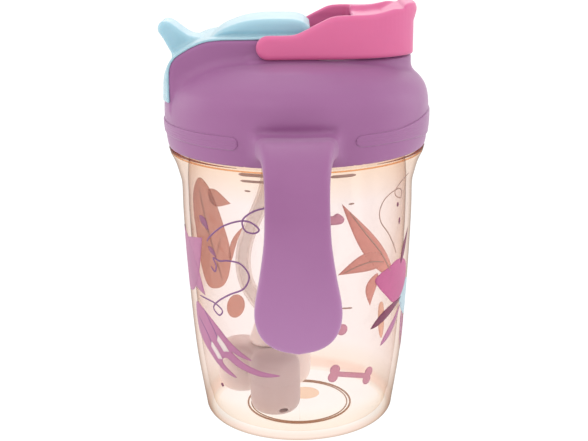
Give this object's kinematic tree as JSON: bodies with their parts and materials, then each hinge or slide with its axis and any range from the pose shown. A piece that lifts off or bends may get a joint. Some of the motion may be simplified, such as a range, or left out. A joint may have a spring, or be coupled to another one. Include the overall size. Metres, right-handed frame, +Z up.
{
  "type": "sippy cup",
  "caption": "Tinted clear tumbler with a screw lid, hanging side handles, a flip cover over a folding silicone spout, and a weighted drinking straw.",
  "frame": {"origin": "centre of the flat underside of the tumbler, on its turning axis", "axes": "+Z up along the tumbler's axis, +X towards the flip cover's thumb lip, the two handles at -Y and +Y"},
  "size_m": [0.0862, 0.1306, 0.1373],
  "materials": {
    "lilac": "satin moulded polypropylene",
    "pink": "satin moulded polypropylene",
    "teal": "matt silicone",
    "peach_clear": "clear tinted copolyester",
    "milky": "translucent silicone",
    "frosted": "frosted translucent plastic",
    "steel": "plain turned steel"
  },
  "bodies": {
    "cup": {"cup_body": "peach_clear"},
    "gasket": {"lid_gasket": "milky"},
    "lid": {"lid_shell": "lilac", "lid_liner": "lilac", "handle_front": "lilac", "handle_back": "lilac", "hinge_pin_front": "steel", "hinge_pin_back": "steel", "spout_base": "teal", "straw_connector": "frosted", "vent_valve": "milky"},
    "cover": {"flip_cover": "pink", "cover_seal_pad": "milky"},
    "spout": {"drinking_spout": "teal"},
    "straw": {"straw_tube": "milky", "weight_collar": "milky", "weight_shell_lower": "frosted", "weight_shell_upper": "frosted", "weight_slug_1": "steel", "weight_slug_2": "steel", "weight_slug_3": "steel"}
  },
  "joints": [
    {"name": "lid_lift", "type": "slide", "parent": "cup", "child": "gasket", "axis": [0, 0, 1], "range_m": [0, 0.00676]},
    {"name": "lid_turn", "type": "hinge", "parent": "gasket", "child": "lid", "pos_m": [0, 0, 0.1], "axis": [0, 0, 1], "range_deg": [0, 270]},
    {"name": "cover_flip", "type": "hinge", "parent": "lid", "child": "cover", "pos_m": [-0.0084, 0, 0.125], "axis": [0, -1, 0], "range_deg": [0, 135]},
    {"name": "spout_rise", "type": "hinge", "parent": "lid", "child": "spout", "pos_m": [0.0082, 0, 0.1262], "axis": [0, -1, 0], "range_deg": [0, 81.5]},
    {"name": "straw_swing", "type": "hinge", "parent": "lid", "child": "straw", "pos_m": [-0.013, 0, 0.104], "axis": [0, -1, 0], "range_deg": [0, 12]}
  ],
  "couplings": [
    {"joint": "lid_lift", "follows": "lid_turn", "m_per_rad": 0.0014324},
    {"joint": "spout_rise", "follows": "cover_flip", "ratio": 0.6}
  ]
}
